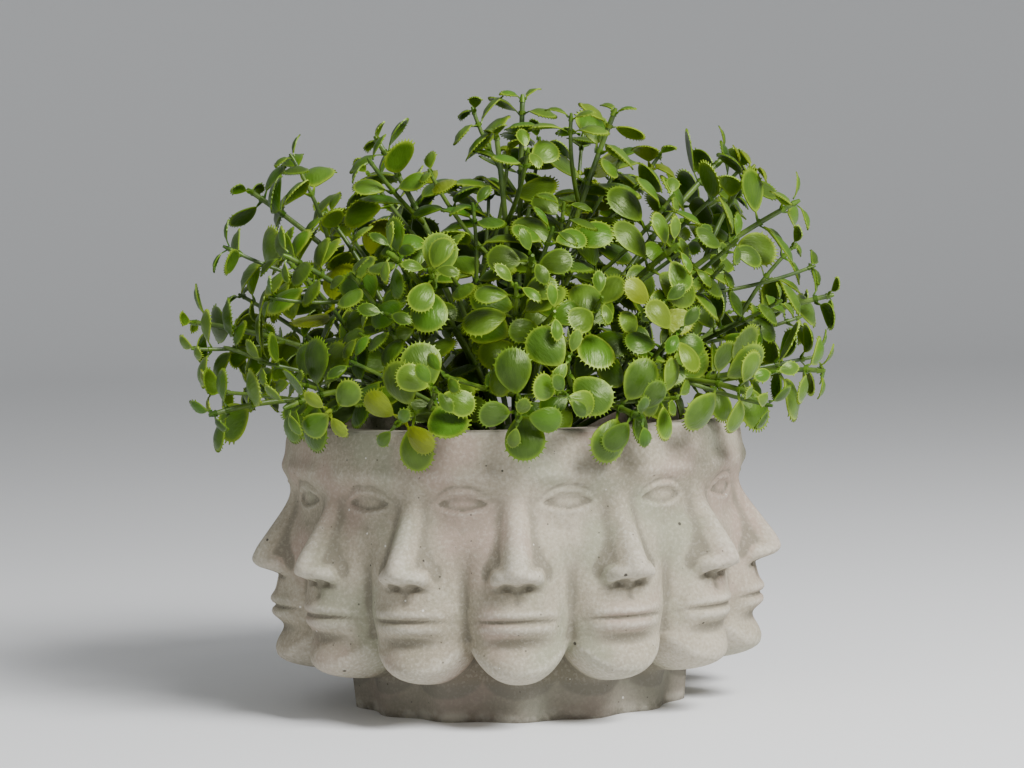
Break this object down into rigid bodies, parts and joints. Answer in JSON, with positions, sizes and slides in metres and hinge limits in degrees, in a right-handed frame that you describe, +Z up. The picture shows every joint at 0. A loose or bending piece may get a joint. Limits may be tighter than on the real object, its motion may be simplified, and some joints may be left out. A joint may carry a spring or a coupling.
{
  "type": "head planter",
  "caption": "Round cast concrete plant pot with a ring of faces for its wall, and a drop-in artificial bush on a foam block.",
  "frame": {"origin": "centre of the foot, on the surface the pot stands on", "axes": "+Z up along the pot's axis; one face looks along -Y, which is the picture's front"},
  "size_m": [0.1997, 0.1872, 0.1853],
  "materials": {
    "concrete": "matte",
    "foam": "matte",
    "stem_plastic": "satin",
    "leaf_plastic": "satin"
  },
  "bodies": {
    "pot": {"concrete_pot": "concrete"},
    "plant": {"foam_block": "foam", "bush_trunk": "stem_plastic", "branch_01_stem": "stem_plastic", "branch_02_stem": "stem_plastic", "branch_03_stem": "stem_plastic", "branch_04_stem": "stem_plastic", "branch_05_stem": "stem_plastic", "branch_06_stem": "stem_plastic", "branch_07_stem": "stem_plastic", "branch_08_stem": "stem_plastic", "branch_09_stem": "stem_plastic", "branch_10_stem": "stem_plastic", "branch_11_stem": "stem_plastic", "branch_12_stem": "stem_plastic", "branch_13_stem": "stem_plastic", "branch_14_stem": "stem_plastic", "branch_15_stem": "stem_plastic", "branch_16_stem": "stem_plastic", "branch_17_stem": "stem_plastic", "branch_18_stem": "stem_plastic", "branch_19_stem": "stem_plastic", "branch_20_stem": "stem_plastic", "branch_21_stem": "stem_plastic", "branch_22_stem": "stem_plastic", "branch_23_stem": "stem_plastic", "branch_24_stem": "stem_plastic", "branch_25_stem": "stem_plastic", "branch_26_stem": "stem_plastic", "branch_27_stem": "stem_plastic", "branch_01_leaves": "leaf_plastic", "branch_02_leaves": "leaf_plastic", "branch_03_leaves": "leaf_plastic", "branch_04_leaves": "leaf_plastic", "branch_05_leaves": "leaf_plastic", "branch_06_leaves": "leaf_plastic", "branch_07_leaves": "leaf_plastic", "branch_08_leaves": "leaf_plastic", "branch_09_leaves": "leaf_plastic", "branch_10_leaves": "leaf_plastic", "branch_11_leaves": "leaf_plastic", "branch_12_leaves": "leaf_plastic", "branch_13_leaves": "leaf_plastic", "branch_14_leaves": "leaf_plastic", "branch_15_leaves": "leaf_plastic", "branch_16_leaves": "leaf_plastic", "branch_17_leaves": "leaf_plastic", "branch_18_leaves": "leaf_plastic", "branch_19_leaves": "leaf_plastic", "branch_20_leaves": "leaf_plastic", "branch_21_leaves": "leaf_plastic", "branch_22_leaves": "leaf_plastic", "branch_23_leaves": "leaf_plastic", "branch_24_leaves": "leaf_plastic", "branch_25_leaves": "leaf_plastic", "branch_26_leaves": "leaf_plastic", "branch_27_leaves": "leaf_plastic"}
  },
  "joints": [
    {"name": "plant_lift", "type": "slide", "parent": "pot", "child": "plant", "axis": [0, 0, 1], "range_m": [0, 0.09]}
  ]
}
